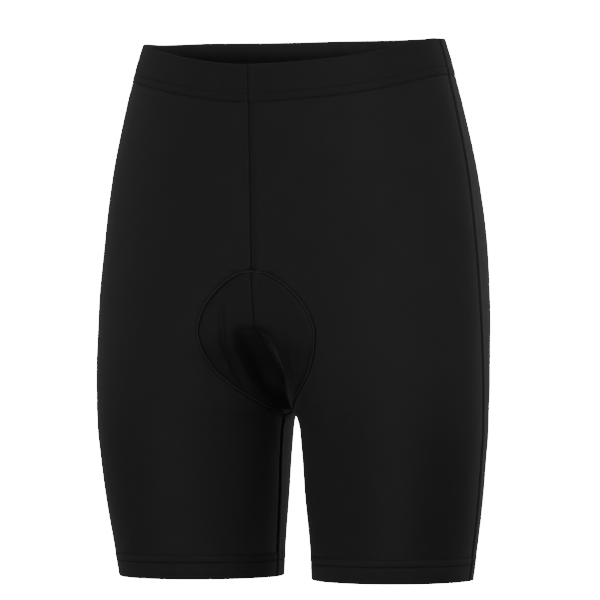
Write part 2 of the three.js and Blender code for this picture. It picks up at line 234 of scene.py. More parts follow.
def r_at(panel, share, z):
    """The r of a share of the ring's length, by straight interpolation in the table both ways."""
    table = arc_tables[panel][1]
    row = np.clip((level_of(z) - LEVELS[0]) / (LEVELS[1] - LEVELS[0]), 0, len(LEVELS) - 1.001)
    column = np.clip(share, 0, 1) * (len(RING_SHARES) - 1.001)
    i, j = row.astype(int), column.astype(int)
    s, t = row - i, column - j
    low = table[i, j] * (1 - t) + table[i, j + 1] * t
    high = table[i + 1, j] * (1 - t) + table[i + 1, j + 1] * t
    r = low * (1 - s) + high * s
    return np.where(share <= 0, 0.0, np.where(share >= 1, 1.0, r))


def inside_ring(panel, points):
    """Negative inside the cloth's form, nought on it and positive outside: the squares of a point's two
    ellipse coordinates, less one, where x is first straightened and bridged as in on_ring."""
    x, y, z = points[..., 0], points[..., 1], points[..., 2]
    sign, k, seam, e, p, q = ring_shape(panel, z)
    straight = x
    for _ in range(4):
        straight = x + lean(z) * (y - seam) * smooth(straight / LEAN_FADE)
    stretched = np.sqrt(straight * straight + k * k - opening(z))
    return ((stretched - k) / p - e) ** 2 + ((y - seam) / q) ** 2 - 1


def out_of_cloth(panel, points):
    """The unit normal at points of the cloth: the slope of inside_ring over small steps each way."""
    at, steps = points[..., None, :], 0.05 * np.eye(3)
    slope = inside_ring(panel, at + steps) - inside_ring(panel, at - steps)
    return slope / np.linalg.norm(slope, axis=-1, keepdims=True)


def cloth(panel, share, z, lift):
    """Points of the cloth at shares of the ring and heights z, moved out along the normal by lift."""
    share, z, lift = np.broadcast_arrays(share, z, lift)
    points = on_ring(panel, r_at(panel, share, z), z)
    return points + out_of_cloth(panel, points) * lift[..., None]


# Bow of the waist edge on each panel: its rise, and the power of the share that places its middle
EDGE_BOW = {
    ("front", "left"): (-4.8, 1.2),
    ("front", "right"): (1.2, 0.8),
    ("back", "left"): (1.9, 1.5),
    ("back", "right"): (1.9, 1.5),
}


def waist_edge(panel, side, share):
    """The waist edge's height: a half cosine from the middle seam to the side seam, plus a bow of
    a squared sine, which sags on the left of the front and rises a little elsewhere."""
    middle = (1 + np.cos(np.pi * share)) / 2
    rise, power = EDGE_BOW[(panel, side)]
    bow = rise * np.sin(np.pi * share ** power) ** 2
    return SIDE_TOP + (-FRONT_DROP if panel == "front" else BACK_RISE) * middle + bow


# The pad's outline, which shows through the panels: how far along the cloth it reaches from the
# middle seam at each height, on the front and on the back.
PAD_OUTLINE_COLUMNS = ("z", "front", "back")
PAD_OUTLINE = [
    (-172, 0, 0),
    (-176, 0, 36),
    (-180, 0, 52),
    (-181.5, 11, 57),
    (-184, 17, 63),
    (-195, 33, 76),
    (-215, 49, 84),
    (-232, 54, 82),
    (-250, 53.5, 75),
    (-262, 52, 68),
    (-272, 47.5, 58),
    (-281, 41, 49),
    (-288, 33, 39),
    (-293.5, 24, 28),
    (-298, 14.5, 18),
    (-301.5, 7, 9),
    (-304, 0, 0),
]
PAD_TOP = {"front": -180.0, "back": -172.0}
PAD_BOTTOM = -304.0
PAD_OFFSET = {"left": 0.06, "right": -0.06}
pad_outline = dict(zip(PAD_OUTLINE_COLUMNS, np.array(PAD_OUTLINE, float)[::-1].T))
pad_curve = {panel: curve_through(pad_outline["z"], pad_outline[panel]) for panel in PANELS}


def pad_reach(panel, side, z):
    """The pad's reach along the cloth. It lies a little towards the wearer's left, so the reach there
    is longer by a share, and that on the right shorter."""
    return pad_curve[panel](z) * (1 + PAD_OFFSET[side] * smooth((z - CROTCH) / 20))


# Relief of the panels: the seams sink in, their allowances stand up beside them, the pad pushes the
# cloth out inside its outline, and creases run over it. Creases: panel and side, place of the upper
# end (height and distance from the middle seam), place of the lower end, width and depth.
SEAM_SINK = 1.2
SEAM_SINK_WIDTH = 1.5
ALLOWANCE_START = 0.7
ALLOWANCE_WIDTH = 5.4
ALLOWANCE_HEIGHT = 0.45
CENTRE_ALLOWANCE_START = CROTCH + 58
CENTRE_ALLOWANCE_RISE = 14.0
INSEAM_ALLOWANCE_FALL = 12.0
PAD_BULGE = 1.3
PAD_BULGE_EDGE = 7.0
PAD_BULGE_RISE = 45.0
OUTLINE_SINK = 1.7
OUTLINE_SINK_WIDTH = 2.2
CREASE_FADE = 24.0
HOLLOW_DEPTH = 10.0
HOLLOW_REACH = {"left": 19.5, "right": 24.0}
HOLLOW_EDGE = {"left": 20.0, "right": 14.0}
HOLLOW_TOP = -223.0
HOLLOW_RISE = 19.0
HOLLOW_BOTTOM = -290.0
HOLLOW_FALL = 28.0
CREASES = [
    ("front", "right", -200, 26.5, -284, 33, 2.8, 2.6),
    ("front", "left", -214, 24, -276, 36, 3.2, 0.9),
    ("back", "right", -196, 46, -284, 24, 8.0, 2.2),
    ("back", "left", -202, 44, -278, 25, 7.0, 2.0),
    ("back", "right", -240, 18, -300, 6, 5.0, 1.2),
    ("back", "left", -236, 17, -296, 7, 4.5, 1.0),
]


def outline_distance(panel, side, along, z):
    """Distance across the cloth from the pad's outline, positive inside: the difference in reach,
    over the length of a vector whose other side is the slope of the reach with height."""
    reach = pad_reach(panel, side, z)
    slope = pad_reach(panel, side, z + 0.5) - pad_reach(panel, side, z - 0.5)
    inside = (reach - along) / np.hypot(1, slope)
    beyond = np.maximum(z - PAD_TOP[panel], PAD_BOTTOM - z)
    return np.where(beyond > 0, -np.maximum(beyond, -inside), inside)


def ridge(distance, start, width, edge=0.6):
    """A flat-topped rise from start to start plus width, with soft edges."""
    return smooth((distance - start) / edge) * smooth((start + width - distance) / edge)


def seams_sunk(along, from_side):
    """A narrow trough at the middle seam and one at the side seam, each 1 deep."""
    return np.exp(-(along / SEAM_SINK_WIDTH) ** 2) + np.exp(-(from_side / SEAM_SINK_WIDTH) ** 2)


def allowance(distance):
    """The raised strip where a seam's allowance lies under the cloth, 1 high, by distance from the seam."""
    return ridge(distance, ALLOWANCE_START, ALLOWANCE_WIDTH)


def hollow(panel, side, along, z):
    """Depth of the hollow that the pad folds into at the middle of the front: a flat trough whose
    side and both ends are smooth steps."""
    ends = smooth((HOLLOW_TOP - z) / HOLLOW_RISE) * smooth((z - HOLLOW_BOTTOM) / HOLLOW_FALL)
    deep = HOLLOW_DEPTH * ends * smooth((HOLLOW_REACH[side] - along) / HOLLOW_EDGE[side])
    return deep * (1 if panel == "front" else 0)


def relief(panel, side, share, z):
    """Height of the cloth's surface details in millimetres, as a sum of soft ridges and troughs."""
    total = ring_length(panel, z)
    along, from_side = share * total, (1 - share) * total
    height = -SEAM_SINK * seams_sunk(along, from_side)
    leg = smooth((CROTCH - z) / INSEAM_ALLOWANCE_FALL) * (panel == "back")
    body = smooth((z - CENTRE_ALLOWANCE_START) / CENTRE_ALLOWANCE_RISE) * (side == "left")
    height += ALLOWANCE_HEIGHT * (allowance(along) * (body + leg) + allowance(from_side) * (panel == "back"))
    inside = outline_distance(panel, side, along, z)
    height += PAD_BULGE * smooth(inside / PAD_BULGE_EDGE) * smooth((z - CROTCH) / PAD_BULGE_RISE)
    height -= OUTLINE_SINK * np.exp(-(inside / OUTLINE_SINK_WIDTH) ** 2)
    height -= hollow(panel, side, along, z)
    for where, which, top, top_along, bottom, bottom_along, width, deep in CREASES:
        if (where, which) == (panel, side):
            t = (z - bottom) / (top - bottom)
            centre = bottom_along + t * (top_along - bottom_along)
            ends = smooth((top - z) / CREASE_FADE) * smooth((z - bottom) / CREASE_FADE)
            height -= deep * ends * np.exp(-((along - centre) / width) ** 2)
    return height


# Painted shade and light of the panels: how much darker their colour is painted where shade falls, in
# steps of the first value below, and how much lighter where light is painted on. Places are in
# millimetres, but THIGH_FRONT, SIDE_START and THIGH_WIDTH are shares of the ring.
PAINTED_SHADE_STEP = 0.3
PAD_SHADE_EDGE = 4.0
SEAM_SHADE = 1.1
HOLLOW_WALL_SHADE = 1.6
INSEAM_SHADE = 2.2
INSEAM_STRIP = 26.0
INSEAM_STRIP_EDGE = 14.0
INNER_THIGH_LIGHT = 2.4
THIGH_REACH = 62.0
LEG_SHADE_START = CROTCH + 12
LEG_SHADE_FADE = 26.0
LOW_LEG_SHADE = 1.5
LOW_START = -250.0
LOW_FADE = 100.0
SIDE_START = (0.15, 0.25)
THIGH_FRONT = {"left": 0.61, "right": 0.46}
THIGH_WIDTH = 0.09
THIGH_SHARE = 0.8


def painted_shade(panel, side, share, z):
    """The painted shade of a panel, as a sum: 1 over the pad by a smooth step at its outline, or the seam's
    value on the doubled cloth beside the centre seams; more on the left wall of the front's hollow, on the
    back panel's strip along the inseam, and low on the front of the legs except down the middle of each
    thigh; and painted light, below 0, on the front panel along the inner thigh."""
    along = share * ring_length(panel, z)
    over_pad = smooth(outline_distance(panel, side, along, z) / PAD_SHADE_EDGE)
    leg = smooth((LEG_SHADE_START - z) / LEG_SHADE_FADE)
    doubled = ridge(along, 0.3, ALLOWANCE_WIDTH + 0.6) * (side == "left") * (z > CROTCH)
    painted = np.maximum(over_pad * (1 - leg), SEAM_SHADE * doubled)
    if panel == "back":
        return painted + leg * INSEAM_SHADE * smooth((INSEAM_STRIP - along) / INSEAM_STRIP_EDGE)
    wall = hollow(panel, side, along, z) / HOLLOW_DEPTH
    wall = 4 * wall * (1 - wall) * (side == "left")
    inner_thigh = leg * smooth(1 - along / THIGH_REACH)
    low = smooth((LOW_START - z) / LOW_FADE) * smooth((share - SIDE_START[0]) / SIDE_START[1])
    low = low * (1 - THIGH_SHARE * np.exp(-((share - THIGH_FRONT[side]) / THIGH_WIDTH) ** 2))
    return painted + HOLLOW_WALL_SHADE * wall - INNER_THIGH_LIGHT * inner_thigh + LOW_LEG_SHADE * low


def graded(length, coarse, fine_places):
    """Places from 0 to length, spaced by coarse, and closer by each (place, spacing, reach)."""
    x = np.linspace(0, length, 4000)
    density = 1 / coarse + sum(
        (1 / spacing) * np.exp(-((x - place) / reach) ** 2) for place, spacing, reach in fine_places
    )
    total = np.concatenate([[0], ((density[1:] + density[:-1]) / 2 * np.diff(x)).cumsum()])
    count = int(np.ceil(total[-1]))
    places = np.interp(np.linspace(0, total[-1], count + 1), total, x)
    places[0], places[-1] = 0, length
    return places


SHARP_EDGE = np.radians(55)


def new_piece(name, points, faces, uv=None):
    """A mesh object from an array of points in millimetres and an array of four-cornered faces."""
    mesh = bpy.data.meshes.new(name)
    mesh.vertices.add(len(points))
    mesh.vertices.foreach_set("co", (np.asarray(points) * MM).ravel())
    mesh.loops.add(faces.size)
    mesh.loops.foreach_set("vertex_index", faces.ravel().astype(np.int32))
    mesh.polygons.add(len(faces))
    mesh.polygons.foreach_set("loop_start", np.arange(len(faces), dtype=np.int32) * faces.shape[1])
    mesh.polygons.foreach_set("use_smooth", np.ones(len(faces), bool))
    if uv is not None:
        layer = mesh.uv_layers.new(name="cloth")
        layer.data.foreach_set("uv", (uv[faces.ravel()] * MM).ravel())
    mesh.update(calc_edges=True)
    mesh.validate()
    mesh.set_sharp_from_angle(angle=SHARP_EDGE)
    return new_object(name, mesh)


def grid_faces(rows, columns, first=0):
    """Faces of a grid of points, numbered row by row from first."""
    i, j = np.meshgrid(np.arange(rows - 1), np.arange(columns - 1), indexing="ij")
    a = (first + i * columns + j).ravel()
    return np.stack([a, a + 1, a + columns + 1, a + columns], 1)


def wall_faces(rows, columns):
    """Faces of a closed wall: an outer and an inner grid of one size, and the four edges between."""
    count = rows * columns
    index = np.arange(count).reshape(rows, columns)
    rim = np.concatenate([index[0, :-1], index[:-1, -1], index[-1, :0:-1], index[:0:-1, 0]])
    after = np.roll(rim, -1)
    edge = np.stack([after, rim, rim + count, after + count], 1)
    return np.concatenate([grid_faces(rows, columns), grid_faces(rows, columns, count)[:, ::-1], edge])


def crotch_rows(height, bend):
    """Shares of a height away from the crotch: the square of even steps over twice the radius of the
    bend there, until they are as far apart as the rest, which are even."""
    step, radius = PANEL_SPACING / height, bend / height
    near = np.arange(0, radius, step) ** 2 / (2 * radius)
    rest = np.linspace(near[-1], 1, int(np.ceil((1 - near[-1]) / step)) + 1)[1:]
    return np.concatenate([near, rest])


PANEL_SPACING = 2.6
BODY_HEIGHT = 290.0
LEG_HEIGHT = 115.0
PANEL_REACH = 240.0
COLUMN_SPACING = 3.4
FRONT_BEND = 48.0
INSEAM_BEND = 3.2
# Where the columns stand closer: place in millimetres from the middle seam, spacing and reach
FINE_COLUMNS = {
    "front": [(0, 0.5, 3.5), (PANEL_REACH, 0.5, 3.5), (30, 2.4, 30)],
    "back": [(0, 0.5, 3.5), (PANEL_REACH, 0.5, 3.5), (50, 3.5, 45)],
}


def even_length(panel, z):
    """The ring's length averaged over about 50 mm of height, so that it has no quick change."""
    heights = np.arange(HEM_LEVEL - 2, 31.0)
    weight = np.exp(-(np.arange(-60, 61) / 25) ** 2)
    padded = np.pad(ring_length(panel, heights), 60, mode="edge")
    return np.interp(z, heights, np.convolve(padded, weight / weight.sum(), mode="valid"))


def cut_panel(panel, side):
    """One panel from the inner leg and centre seam to the side seam and from the hem's stitching to
    the waistband's. Near the middle seam the rows crowd together at the crotch, where the cloth turns
    under, and elsewhere they are even. The columns keep their distance from the side seam, except
    near the middle, where they give or take up the length that the ring gains or loses."""
    column = graded(PANEL_REACH, COLUMN_SPACING, FINE_COLUMNS[panel])[None, :] / PANEL_REACH
    top = waist_edge(panel, side, column) - BAND_HEIGHT
    bottom = HEM_LEVEL + HEM_DEPTH
    crowd = smooth(1 - column / 0.45)
    up, down = (
        crowd * rows[:, None] + (1 - crowd) * np.linspace(0, 1, len(rows))[:, None]
        for rows in (crotch_rows(BODY_HEIGHT, FRONT_BEND), crotch_rows(LEG_HEIGHT, INSEAM_BEND))
    )
    z = CROTCH + np.concatenate([(bottom - CROTCH) * down[:0:-1], (top - CROTCH) * up])
    total, even = ring_length(panel, z), even_length(panel, z)
    from_side = (1 - column) * even + smooth(1 - column / 0.6) * (total - even)
    share = 1 - from_side / total
    lift = relief(panel, side, share, z)
    outer = cloth(panel, share, z, lift)
    inner = cloth(panel, share, z, np.minimum(lift, 0.2) - CLOTH_THICKNESS)
    climb = np.linalg.norm(np.diff(outer, axis=0), axis=2).cumsum(0)
    climb = np.concatenate([0 * climb[:1], climb])
    uv = np.stack([(1 - share) * total, climb], -1).reshape(-1, 2)
    points = np.concatenate([outer.reshape(-1, 3), inner.reshape(-1, 3)]) * MIRROR[side]
    faces = wall_faces(*z.shape)
    if (side == "right") != (panel == "back"):
        faces = faces[:, ::-1]
    piece = new_piece(f"{panel}_panel_{side}", points, faces, np.concatenate([uv, uv]))
    # Painted shade and light, kept on the panel's points for the knit's colour.
    shade = piece.data.attributes.new("painted_shade", "FLOAT", "POINT")
    shade.data.foreach_set("value", np.tile(painted_shade(panel, side, share, z).ravel(), 2).astype(np.float32))
    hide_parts(f"{panel}_{side}")
    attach(piece, "root")
    return piece


# The knit's finish. Fine ribs of loops run up the cloth, in two colours of nearly black, with a soft
# sheen from the elastane, and a faint mottle where the stretch is uneven.
def new_group(name, inputs, outputs):
    """A shader node group with number inputs (name, value) and number outputs."""
    group = bpy.data.node_groups.new(name, "ShaderNodeTree")
    for title, value in inputs:
        socket = group.interface.new_socket(title, in_out="INPUT", socket_type="NodeSocketFloat")
        socket.default_value = value
    for title in outputs:
        group.interface.new_socket(title, in_out="OUTPUT", socket_type="NodeSocketFloat")
    return group


def node(tree, kind, values=None, **settings):
    """A new node with its settings, and its unlinked sockets' values by name or number."""
    made = tree.nodes.new(kind)
    for key, value in settings.items():
        setattr(made, key, value)
    for key, value in (values or {}).items():
        made.inputs[key].default_value = value
    return made


def calculate(tree, operation, first, second=None, third=None, clamp=False):
    """A Math node's output; each operand is a socket or a number."""
    made = node(tree, "ShaderNodeMath", operation=operation, use_clamp=clamp)
    for slot, operand in enumerate((first, second, third)):
        if isinstance(operand, bpy.types.NodeSocket):
            tree.links.new(operand, made.inputs[slot])
        elif operand is not None:
            made.inputs[slot].default_value = operand
    return made.outputs[0]


def new_material(name, values):
    """A material with those values on its Principled shader: the material, its tree and the shader."""
    material = bpy.data.materials.new(name)
    material.use_nodes = True
    shader = material.node_tree.nodes["Principled BSDF"]
    for title, value in values.items():
        shader.inputs[title].default_value = value
    return material, material.node_tree, shader


def noise(tree, scale, detail, roughness=0.5):
    """Noise at a scale in the piece's own metres."""
    place = node(tree, "ShaderNodeTexCoord")
    made = node(tree, "ShaderNodeTexNoise", {"Scale": scale, "Detail": detail, "Roughness": roughness})
    tree.links.new(place.outputs["Object"], made.inputs["Vector"])
    return made.outputs["Fac"]


def between(tree, tone, dark, light):
    """The colour that a tone from 0 to 1 picks between a dark and a light one."""
    mix = node(tree, "ShaderNodeMix", {"A": (*dark, 1), "B": (*light, 1)}, data_type="RGBA")
    tree.links.new(tone, mix.inputs["Factor"])
    return mix.outputs["Result"]


def dimmed(tree, colour, share):
    """A colour times a share of it."""
    shade = node(tree, "ShaderNodeVectorMath", operation="SCALE")
    tree.links.new(colour, shade.inputs[0])
    tree.links.new(share, shade.inputs["Scale"])
    return shade.outputs["Vector"]


def raise_surface(tree, shader, height, strength, distance):
    """Bump from a height, its distance in millimetres."""
    lift = node(tree, "ShaderNodeBump", {"Strength": strength, "Distance": distance * MM})
    tree.links.new(height, lift.inputs["Height"])
    tree.links.new(lift.outputs["Normal"], shader.inputs["Normal"])


def knit_group():
    """Ribs and loops of a fine jersey from the piece's UV map: two waves across and along the cloth
    for the loops' height, and two sizes of noise for the grain and the mottle."""
    group = new_group("knit_loops", [("Rib", 0.8), ("Course", 0.7)], ["Height", "Grain", "Mottle"])
    inputs = node(group, "NodeGroupInput")
    outputs = node(group, "NodeGroupOutput")
    place = node(group, "ShaderNodeUVMap", uv_map="cloth")
    split = node(group, "ShaderNodeSeparateXYZ")
    group.links.new(place.outputs["UV"], split.inputs[0])
    sizes = [calculate(group, "MULTIPLY", inputs.outputs[title], MM) for title in ("Rib", "Course")]
    across, up = (calculate(group, "DIVIDE", split.outputs[i], sizes[i]) for i in range(2))
    rib = calculate(group, "ABSOLUTE", calculate(group, "SINE", calculate(group, "MULTIPLY", across, np.pi)))
    slant = calculate(group, "MULTIPLY_ADD", rib, 0.5, up)
    loop = calculate(group, "SINE", calculate(group, "MULTIPLY", slant, 2 * np.pi))
    height = calculate(group, "MULTIPLY_ADD", loop, 0.25, rib)
    group.links.new(height, outputs.inputs["Height"])
    for title, scale, detail in (("Grain", 900, 2), ("Mottle", 38, 3)):
        group.links.new(noise(group, scale, detail, 0.6), outputs.inputs[title])
    return group


knit_loops = knit_group()


def knit_material(name, dark, light, roughness, sheen, rib, bump):
    """Knitted cloth: the colour runs from dark to light with the grain and mottle and is darkened or
    lightened by the piece's painted shade and light, the loops make the bump, and the sheen is the
    elastane's."""
    shine = {"Specular IOR Level": 0.32, "Sheen Roughness": 0.42, "Sheen Tint": (0.62, 0.63, 0.66, 1)}
    material, tree, shader = new_material(name, {"Sheen Weight": sheen, **shine})
    loops = node(tree, "ShaderNodeGroup", node_tree=knit_loops)
    loops.inputs["Rib"].default_value = rib
    loops.inputs["Course"].default_value = rib * 0.9
    tone = calculate(tree, "MULTIPLY_ADD", loops.outputs["Mottle"], 0.7, -0.1)
    tone = calculate(tree, "MULTIPLY_ADD", loops.outputs["Grain"], 0.6, tone)
    tone = calculate(tree, "MULTIPLY_ADD", loops.outputs["Height"], 0.18, tone)
    # Painted shade and light: the piece's attribute scales the colour down, or up where it is below 0.
    painted = node(tree, "ShaderNodeAttribute", attribute_name="painted_shade")
    share = calculate(tree, "MULTIPLY_ADD", painted.outputs["Fac"], -PAINTED_SHADE_STEP, 1.0)
    tree.links.new(dimmed(tree, between(tree, tone, dark, light), share), shader.inputs["Base Color"])
    rough = calculate(tree, "MULTIPLY_ADD", loops.outputs["Grain"], 0.16, roughness - 0.08)
    tree.links.new(rough, shader.inputs["Roughness"])
    raised = calculate(tree, "MULTIPLY_ADD", loops.outputs["Grain"], 0.6, loops.outputs["Height"])
    raise_surface(tree, shader, raised, 1.0, bump)
    return material


KNIT_DARK = (0.0070, 0.0070, 0.0074)
KNIT_LIGHT = (0.0155, 0.0155, 0.0162)
knit = knit_material("stretch_knit", KNIT_DARK, KNIT_LIGHT, 0.56, 0.16, 0.8, 0.05)
front_panels = [cut_panel("front", side) for side in SIDES]

# Back panels
# Two pieces of the same knit over the seat, from the side seams to the centre back seam and inseam.
# The allowances of the side seams and inseams are pressed towards them.
back_panels = [cut_panel("back", side) for side in SIDES]
for panel_piece in front_panels + back_panels:
    panel_piece.data.materials.append(knit)

# Waistband
# The panels' tops, turned in over a 32 mm elastic and held by two rows of cover stitch. It is one
# closed loop, a little proud of the cloth below, with the centre and side seams running through it.
BAND_PROUD = 0.5
BAND_THICKNESS = 3.0
BAND_ROWS_OF_STITCH = (0.6, 7.6)
BAND_ROW_SINKS = (0.22, 0.36)
STITCH_SINK_WIDTH = 0.8
BAND_SEAM_SINK = 0.7
INNER_SEAM_HEIGHT = 0.7
INNER_SEAM_WIDTH = 1.3
LOOP_QUARTERS = (("front", "left", 1), ("back", "left", -1), ("back", "right", 1), ("front", "right", -1))


def quarter_loop(share, heights, lift_of):
    """A full loop round the body as four quarters, starting at the centre front and going by the
    wearer's left: heights and lift_of give z and lift for a panel, side and share."""
    quarters = []
    for panel, side, direction in LOOP_QUARTERS:
        s = (share[:-1] if direction == 1 else share[:0:-1])[None, :]
        z = heights(panel, side, s)
        quarters.append(cloth(panel, s, z, lift_of(panel, side, s, z)) * MIRROR[side])
    return np.concatenate(quarters, 1)


def band_columns(length):
    """Shares round a quarter of a band of that length, closer together at the seams."""
    return graded(length, 2.2, [(0, 0.6, 3.5), (length, 0.6, 3.5)]) / length


def tube_faces(rows, columns):
    """Faces of a closed profile of that many points carried round a closed loop."""
    i, j = np.meshgrid(np.arange(rows), np.arange(columns), indexing="ij")
    right, up = (j + 1) % columns, (i + 1) % rows
    corners = (i * columns + j, i * columns + right, up * columns + right, up * columns + j)
    return np.stack([c.ravel() for c in corners], 1)


def tube_uv(points):
    """Distances round and up a grid of points, from its first row and column."""
    round_loop = np.linalg.norm(np.diff(points, axis=1, append=points[:, :1]), axis=2).cumsum(1)
    up_profile = np.linalg.norm(np.diff(points, axis=0, append=points[:1]), axis=2).cumsum(0)
    return np.stack([round_loop, up_profile], -1).reshape(-1, 2)


def seam_marks(panel, share, total, doubled):
    """The seams where they run through a band: sunk lines, and the allowances raised beside them, the
    side seam's on the back and the middle seam's where the cloth is doubled."""
    along, from_side = share * total, (1 - share) * total
    raised = allowance(along) * doubled + allowance(from_side) * (panel == "back")
    return ALLOWANCE_HEIGHT * raised - BAND_SEAM_SINK * seams_sunk(along, from_side)


def band_profile(height, proud, thickness, fold_at_top, stitch_rows, sinks, spacing=0.55):
    """A folded band's closed cross-section as places up the band and lifts off the cloth: up the outer
    face, round the fold and back down the inner face, or the other way up for a hem."""
    radius = thickness / 2
    up = np.arange(0, height - radius, spacing)
    lift = proud * smooth(up / 3)
    for row, sink in zip(stitch_rows, sinks):
        lift = lift - sink * np.exp(-((up - row) / STITCH_SINK_WIDTH) ** 2)
    turn = np.radians(np.linspace(-90, 90, 11)[1:-1])
    fold_up = height - radius + radius * np.cos(turn)
    fold_lift = proud - radius - radius * np.sin(turn)
    down = np.linspace(height - radius, 0, 18)
    inner = np.full(18, proud - thickness)
    places = np.concatenate([up, fold_up, down])
    lifts = np.concatenate([lift, fold_lift, inner])
    return (places if fold_at_top else height - places), lifts


def band_height(up):
    """The heights of a loop that runs up millimetres over the band's lower edge."""
    return lambda panel, side, share: waist_edge(panel, side, share) - BAND_HEIGHT + up


def waistband():
    """The band's profile carried round the waist, following the waist edge's rise and fall; and 1 for
    each of its faces round the fold and down the inner face, which take painted light, 0 for the rest."""
    rows = (BAND_ROWS_OF_STITCH, BAND_ROW_SINKS)
    up, lift = band_profile(BAND_HEIGHT, BAND_PROUD, BAND_THICKNESS, True, *rows)
    outside = (np.arange(len(up)) < np.argmax(up))[:, None]

    def lifts(panel, side, s, z):
        total = ring_length(panel, z)
        inner_seam = INNER_SEAM_HEIGHT * np.exp(-(s * total / INNER_SEAM_WIDTH) ** 2) * (1 - outside)
        return lift[:, None] + seam_marks(panel, s, total, side == "left") * outside + inner_seam

    points = quarter_loop(band_columns(190), band_height(up[:, None]), lifts)
    faces = tube_faces(*points.shape[:2])
    piece = new_piece("waistband_casing", points.reshape(-1, 3), faces, tube_uv(points))
    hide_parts("waistband")
    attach(piece, "root")
    painted_lit = np.repeat(1 - outside[:, 0], points.shape[1])
    return piece, painted_lit.astype(np.int32)


BAND_DARK = (0.0066, 0.0066, 0.007)
BAND_LIGHT = (0.0145, 0.0145, 0.015)
# The fold and inner face: the same knit with painted light, its colour several times lighter than the outer
# face's.
INNER_PAINTED_LIT_DARK = (0.036, 0.036, 0.037)
INNER_PAINTED_LIT_LIGHT = (0.074, 0.074, 0.076)
band_knit = knit_material("elastic_casing", BAND_DARK, BAND_LIGHT, 0.6, 0.14, 0.9, 0.06)
band_inner_painted_lit = knit_material("band_inner_painted_lit", INNER_PAINTED_LIT_DARK, INNER_PAINTED_LIT_LIGHT, 0.62, 0.3, 0.9, 0.06)


def paint_shadow_low(material, start, end, rest):
    """Paints shadow into a material's colour along the band's profile: by a smooth step from full colour at
    start to a share of it, rest, at end, both in millimetres from the lower edge up the outer face and over."""
    tree = material.node_tree
    shader = tree.nodes["Principled BSDF"]
    colour = shader.inputs["Base Color"].links[0].from_socket
    place = node(tree, "ShaderNodeUVMap", uv_map="cloth")
    split = node(tree, "ShaderNodeSeparateXYZ")
    tree.links.new(place.outputs["UV"], split.inputs[0])
    limits = {"From Min": start * MM, "From Max": end * MM, "To Min": 1.0, "To Max": rest}
    fall = node(tree, "ShaderNodeMapRange", limits, interpolation_type="SMOOTHSTEP")
    tree.links.new(split.outputs["Y"], fall.inputs["Value"])
    tree.links.new(dimmed(tree, colour, fall.outputs["Result"]), shader.inputs["Base Color"])


# Painted shadow on the lower part of the band's inner face, where the front of the band shades it.
paint_shadow_low(band_inner_painted_lit, 38, 53, 0.25)
band, painted_lit_faces = waistband()
band.data.materials.append(band_knit)
band.data.materials.append(band_inner_painted_lit)
# The fold and inner face take the painted-light copy of the knit.
band.data.polygons.foreach_set("material_index", painted_lit_faces)

# Leg hems
# The panels' bottoms, turned in and held by two rows of cover stitch 6.4 mm apart. The side seams
# and inseams run through them.
HEM_PROUD = 0.35
HEM_THICKNESS = 2.4
HEM_ROWS_OF_STITCH = (0.4, 6.8)
HEM_ROW_SINKS = (0.18, 0.6)


def leg_loop(side, share, z, lift_of):
    """A loop round one leg at heights z, from the inseam by the front to the side and back: lift_of
    gives the lift for a panel and its shares."""
    halves = (("front", share[:-1]), ("back", share[:0:-1]))
    return np.concatenate([cloth(panel, s, z, lift_of(panel, s)) for panel, s in halves], -2) * MIRROR[side]


def leg_hem(side):
    """The hem's profile carried round one leg."""
    place, lift = band_profile(HEM_DEPTH, HEM_PROUD, HEM_THICKNESS, False, HEM_ROWS_OF_STITCH, HEM_ROW_SINKS)
    z = (HEM_LEVEL + place)[:, None]
    outside = (np.arange(len(place)) < np.argmin(place))[:, None]

    def lifts(panel, s):
        return lift[:, None] + seam_marks(panel, s, ring_length(panel, z), panel == "back") * outside

    points = leg_loop(side, band_columns(215), z, lifts)
    faces = tube_faces(*points.shape[:2])
    if side == "left":
        faces = faces[:, ::-1]
    piece = new_piece(f"leg_hem_{side}", points.reshape(-1, 3), faces, tube_uv(points))
    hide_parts(f"hem_{side}")
    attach(piece, "root")
    return piece


hems = [leg_hem(side) for side in SIDES]
for hem in hems:
    hem.data.materials.append(band_knit)

# Pad
# One moulded foam pad with a brushed knit face, laid inside the crotch and sewn down round its edge.
# It is thick in the middle, thin at the edge, and has moulded channels along it.
PAD_MIDDLE = 8.0
PAD_EDGE = 1.8
PAD_SEAT = 2.0
PAD_HOLLOW_SPREAD = 1.6
PAD_CHANNELS = (0.34, 0.68)
CHANNEL_DEPTH = 1.6
CHANNEL_WIDTH = 1.8
PAD_ROWS = 90
PAD_COLUMNS = 26


def pad_quarter(panel, side):
    """One quarter of the pad as an outer and an inner grid: rows in height, packed at both ends, and
    columns as shares of the reach; the thickness falls with the fourth power of the share. Below the
    crotch, where front and back quarters meet, both are as thick as the narrower one."""
    upper = CROTCH + (PAD_TOP[panel] - CROTCH) * smooth(np.linspace(0, 1, PAD_ROWS))
    lower = CROTCH + (PAD_BOTTOM - CROTCH) * np.linspace(1, 0, 12)[:-1] ** 2
    z = np.concatenate([lower, upper])[:, None]
    v = np.linspace(0, 1, PAD_COLUMNS)[None, :]
    reach = pad_reach(panel, side, z)
    reach[0] = reach[-1] = 0
    share = v * reach / ring_length(panel, z)
    narrow = np.where(z < CROTCH, np.minimum(pad_curve["front"](z), pad_curve["back"](z)), reach)
    z = z + 0 * v
    along = share * ring_length(panel, z)
    base = -PAD_SEAT - hollow(panel, side, along - PAD_HOLLOW_SPREAD, z - PAD_HOLLOW_SPREAD)
    full = np.minimum(1, narrow / PAD_MIDDLE) * (1 - v ** 4)
    channels = sum(np.exp(-((v - place) * reach / CHANNEL_WIDTH) ** 2) for place in PAD_CHANNELS)
    thick = PAD_EDGE + (PAD_MIDDLE - PAD_EDGE) * full - CHANNEL_DEPTH * channels * smooth(reach / 24 - 0.5)
    return cloth(panel, share, z, base), cloth(panel, share, z, base - thick)


